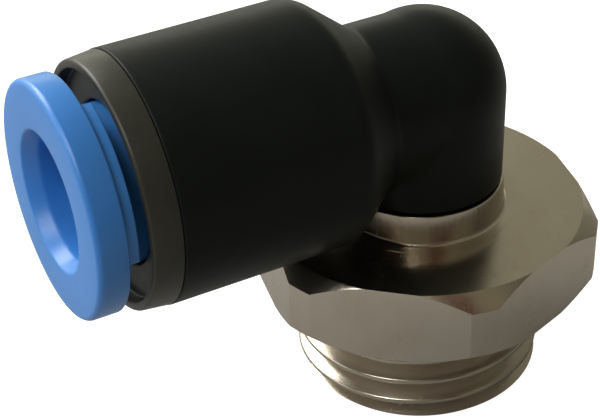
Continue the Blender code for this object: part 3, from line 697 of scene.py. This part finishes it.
def retaining_collar(finish):
    """Collar with a rounded front edge, a recess for the sleeve's ribs and pressed-in barbs."""
    back = SOCKET_REACH + 0.02 * MM
    recess_floor = COLLAR_FRONT - COLLAR_RECESS_DEPTH
    catch = COLLAR_NOSE + 2.2 * MM
    nose = [(COLLAR_CHAMBER_R, COLLAR_NOSE, 0.05 * MM, 2), (COLLAR_NOSE_R, COLLAR_NOSE, 0.15 * MM, 3)]
    root_r, tip_r = COLLAR_NOSE_R - 0.02 * MM, COLLAR_NOSE_R + 0.09 * MM
    spacing, tip_rise, barb_length = 1.1 * MM, 0.55 * MM, 0.6 * MM
    barbs = []
    for barb in range(3):
        low = COLLAR_NOSE + spacing * (1 + barb)
        barbs += [(root_r, low), (tip_r, low + tip_rise), (root_r, low + barb_length)]
    ring = turn_ring("socket_collar", nose + barbs + [
        (COLLAR_NOSE_R, back), (COLLAR_R, back, 0.06 * MM, 3),
        (COLLAR_R - COLLAR_TAPER, COLLAR_FRONT, 0.17 * MM, 6),
        (COLLAR_RECESS_R, COLLAR_FRONT, 0.10 * MM, 3), (COLLAR_RECESS_R, recess_floor, 0.12 * MM, 3),
        (COLLAR_LIP_R, recess_floor, 0.15 * MM, 3), (COLLAR_LIP_R, catch, 0.05 * MM, 2),
        (COLLAR_CHAMBER_R, catch)], TUBE_AXIS)
    return finish_piece(ring, "elbow", "dark_grey_collar", finish, "retaining_collar")


# ---------------------------------------------------------------- cartridge
def grip_ring(finish):
    """Spring steel ring: a flat rim, slotted into claws that lean inwards."""
    rim_r = GRIP_OUTER_R - 0.70 * MM
    tip_r = 2.92 * MM
    thickness = 0.25 * MM
    lean = 35 * DEGREE
    slot_width = 0.45 * MM
    drop = (rim_r - tip_r) * math.tan(lean)
    ring = turn_ring("claw_ring", [
        (rim_r, GRIP_END - thickness, 0.1 * MM, 3), (GRIP_OUTER_R, GRIP_END - thickness, 0.04 * MM, 2),
        (GRIP_OUTER_R, GRIP_END, 0.04 * MM, 2), (rim_r, GRIP_END, 0.25 * MM, 4),
        (tip_r, GRIP_END - drop), (tip_r + 0.08 * MM, GRIP_END - thickness - drop)], TUBE_AXIS)
    slots = bmesh.new()
    outer_r = rim_r - 0.15 * MM
    inner_r = tip_r - 0.5 * MM
    length = drop + 1.4 * MM
    middle = Matrix.Translation(((inner_r + outer_r) / 2, 0, GRIP_END + 0.5 * MM - length / 2))
    size = Matrix.Diagonal((outer_r - inner_r, slot_width, length, 1))
    for claw in range(CLAWS):
        turn = Matrix.Rotation(FULL_TURN * claw / CLAWS, 4, "Z")
        bmesh.ops.create_cube(slots, size=1, matrix=turn @ middle @ size)
    combine(ring, "DIFFERENCE", new_piece("claw_slots", slots, TUBE_AXIS))
    return finish_piece(ring, "grip", "spring_steel", finish, "grip_ring")


def stop_rib(number):
    """Raised arc behind the flange, with an eased edge. RIB_START is counted from +Y towards +Z."""
    back = SLEEVE_FRONT - FLANGE_THICKNESS - RIB_LENGTH
    front = SLEEVE_FRONT - FLANGE_THICKNESS / 2
    inner_r = SLEEVE_R - 0.4 * MM
    start = FULL_TURN / 4 - RIB_START - RIB_SPAN + FULL_TURN * number / 2
    return turn_ring(f"stop_rib_{number}", [
        (inner_r, back), (RIB_R, back, 0.08 * MM, 4), (RIB_R, front), (inner_r, front)],
        TUBE_AXIS, start=start, span=RIB_SPAN)


def release_sleeve(finish):
    """Blue sleeve: rounded flange, flared mouth, two stop ribs, catch ridge and tapered nose."""
    flange_back = SLEEVE_FRONT - FLANGE_THICKNESS
    catch_front = COLLAR_NOSE + 2.1 * MM
    catch_back = catch_front - 0.8 * MM
    nose_r = TUBE_BORE_R + 0.45 * MM
    sleeve = turn_ring("push_sleeve", [
        (TUBE_BORE_R, SLEEVE_NOSE, 0.06 * MM, 2), (nose_r, SLEEVE_NOSE, 0.06 * MM, 2),
        (SLEEVE_R, SLEEVE_NOSE + 0.6 * MM, 0.1 * MM, 2), (SLEEVE_R, catch_back - 0.4 * MM),
        (CATCH_R, catch_back, 0.06 * MM, 2), (CATCH_R, catch_front, 0.04 * MM, 2), (SLEEVE_R, catch_front),
        (SLEEVE_R, flange_back, 0.15 * MM, 3), (FLANGE_R, flange_back, 0.14 * MM, 4),
        (FLANGE_R, SLEEVE_FRONT, 0.30 * MM, 10), (TUBE_BORE_R + 0.42 * MM, SLEEVE_FRONT, 0.16 * MM, 5),
        (TUBE_BORE_R, SLEEVE_FRONT - 0.75 * MM, 0.5 * MM, 5)], TUBE_AXIS)
    combine(sleeve, "UNION", stop_rib(0), stop_rib(1))
    return finish_piece(sleeve, "sleeve", "blue_sleeve", finish, "release_sleeve", crease=35 * DEGREE)


# ---------------------------------------------------------------- stage
def stage_surface():
    """Large pale sheet under the thread's end. Seen directly it glows a little, so it stays near white."""
    bm = bmesh.new()
    bmesh.ops.create_grid(bm, x_segments=1, y_segments=1, size=1.5)
    bmesh.ops.translate(bm, verts=bm.verts, vec=(0, 0, THREAD_END - 0.02 * MM))
    floor = new_piece("pale_floor", bm)
    finish = bpy.data.materials.new("pale_floor")
    finish.use_nodes = True
    nodes = Shader(finish.node_tree)
    shader = finish.node_tree.nodes["Principled BSDF"]
    shader.inputs["Base Color"].default_value = (0.35, 0.348, 0.34, 1)
    shader.inputs["Roughness"].default_value = 0.9
    seen = nodes.node("ShaderNodeLightPath").outputs["Is Camera Ray"]
    nodes.feed(shader.inputs["Emission Strength"], seen)
    floor.data.materials.append(finish)


def soft_light(name, place, aim, size, power, tint=(1, 1, 1)):
    lamp = bpy.data.lights.new(name, "AREA")
    lamp.shape = "RECTANGLE"
    lamp.size, lamp.size_y = size
    lamp.energy = power
    lamp.color = tint
    item = bpy.data.objects.new(name, lamp)
    item.location = place
    item.rotation_euler = (Vector(aim) - Vector(place)).to_track_quat("-Z", "Y").to_euler()
    bpy.context.scene.collection.objects.link(item)


def studio_world():
    """Warm room with two brown uprights and a bright horizon. Seen directly it is plain white."""
    world = bpy.data.worlds.new("studio")
    world.use_nodes = True
    nodes = Shader(world.node_tree)
    back = world.node_tree.nodes["Background"]
    place = nodes.node("ShaderNodeTexCoord").outputs["Generated"]
    split = nodes.node("ShaderNodeSeparateXYZ", {"Vector": place}).outputs
    dim, bright, front_wall = (0.10, 0.095, 0.075, 1), (0.38, 0.37, 0.28, 1), (0.24, 0.22, 0.15, 1)
    brown, horizon = (0.10, 0.040, 0.032, 1), (2.0, 2.0, 1.6, 1)
    behind = nodes.math("ADD", nodes.math("MULTIPLY", split["Y"], 0.75),
                        nodes.math("MULTIPLY", split["Z"], 0.35))
    room = nodes.mix(nodes.remap(behind, -0.3, 0.8), dim, bright)
    around = nodes.math("ARCTAN2", split["X"], nodes.math("MULTIPLY", split["Y"], -1.0))
    off_viewer = nodes.math("ABSOLUTE", nodes.math("ADD", around, 27.5 * DEGREE))
    front = nodes.remap(off_viewer, 75 * DEGREE, 60 * DEGREE)
    height = nodes.remap(split["Z"], 0.15, 0.35)
    wall = nodes.mix(nodes.math("MULTIPLY", front, height), room, front_wall)
    for middle in (-71 * DEGREE, -3 * DEGREE):
        off_middle = nodes.math("ABSOLUTE", nodes.math("SUBTRACT", around, middle))
        upright = nodes.remap(off_middle, 15 * DEGREE, 11 * DEGREE)
        wall = nodes.mix(nodes.math("MULTIPLY", upright, height), wall, brown)
    glow = nodes.math("MULTIPLY", nodes.remap(split["Y"], 0.3, 0.75), nodes.remap(split["Z"], 0.26, 0.12))
    wall = nodes.mix(glow, wall, horizon)
    seen = nodes.node("ShaderNodeLightPath").outputs["Is Camera Ray"]
    nodes.feed(back.inputs["Color"], nodes.mix(seen, wall, (1, 1, 1, 1)))
    back.inputs["Strength"].default_value = 1.0
    bpy.context.scene.world = world


def studio():
    studio_world()
    middle = (-0.005, 0, 0.006)
    soft_light("window", (-0.12, 0.30, 0.22), middle, (0.26, 0.20), 1.4, (1.0, 0.99, 0.95))
    soft_light("fill", (-0.24, -0.05, 0.30), middle, (0.22, 0.22), 0.80)
    soft_light("left_card", (-0.26, 0.10, 0.10), middle, (0.16, 0.16), 0.10)
    scene = bpy.context.scene
    scene.view_settings.view_transform = "Standard"
    scene.view_settings.look = "None"


def camera():
    """Long lens above the socket side, tipped a little."""
    azimuth, elevation, roll = -27.51 * DEGREE, 34.81 * DEGREE, -1.43 * DEGREE
    distance = 96.2 * MM
    aim = Vector((-4.33, 5.39, 1.71)) * MM
    back = Vector((math.sin(azimuth) * math.cos(elevation), -math.cos(azimuth) * math.cos(elevation),
                   math.sin(elevation)))
    right = Vector((math.cos(azimuth), math.sin(azimuth), 0))
    lens = bpy.data.cameras.new("camera")
    lens.lens = 104.8
    lens.sensor_width = 36
    lens.clip_start = 0.002
    lens.clip_end = 10
    item = bpy.data.objects.new("camera", lens)
    turn = Matrix((right, back.cross(right), back)).transposed().to_4x4()
    item.matrix_world = Matrix.Translation(aim + back * distance) @ turn @ Matrix.Rotation(roll, 4, "Z")
    bpy.context.scene.collection.objects.link(item)
    bpy.context.scene.camera = item


def main():
    brass, steel, rubber = nickel_plate(), spring_steel(), black_rubber()
    threaded_stud(brass)
    face_seal(rubber)
    swivel_o_ring(rubber)
    swivel_snap_ring(steel)
    elbow_body(black_moulding())
    tube_seal(rubber)
    seal_support_ring(natural_acetal())
    retaining_collar(grey_collar())
    grip_ring(steel)
    release_sleeve(blue_acetal())
    stage_surface()
    studio()
    camera()


main()
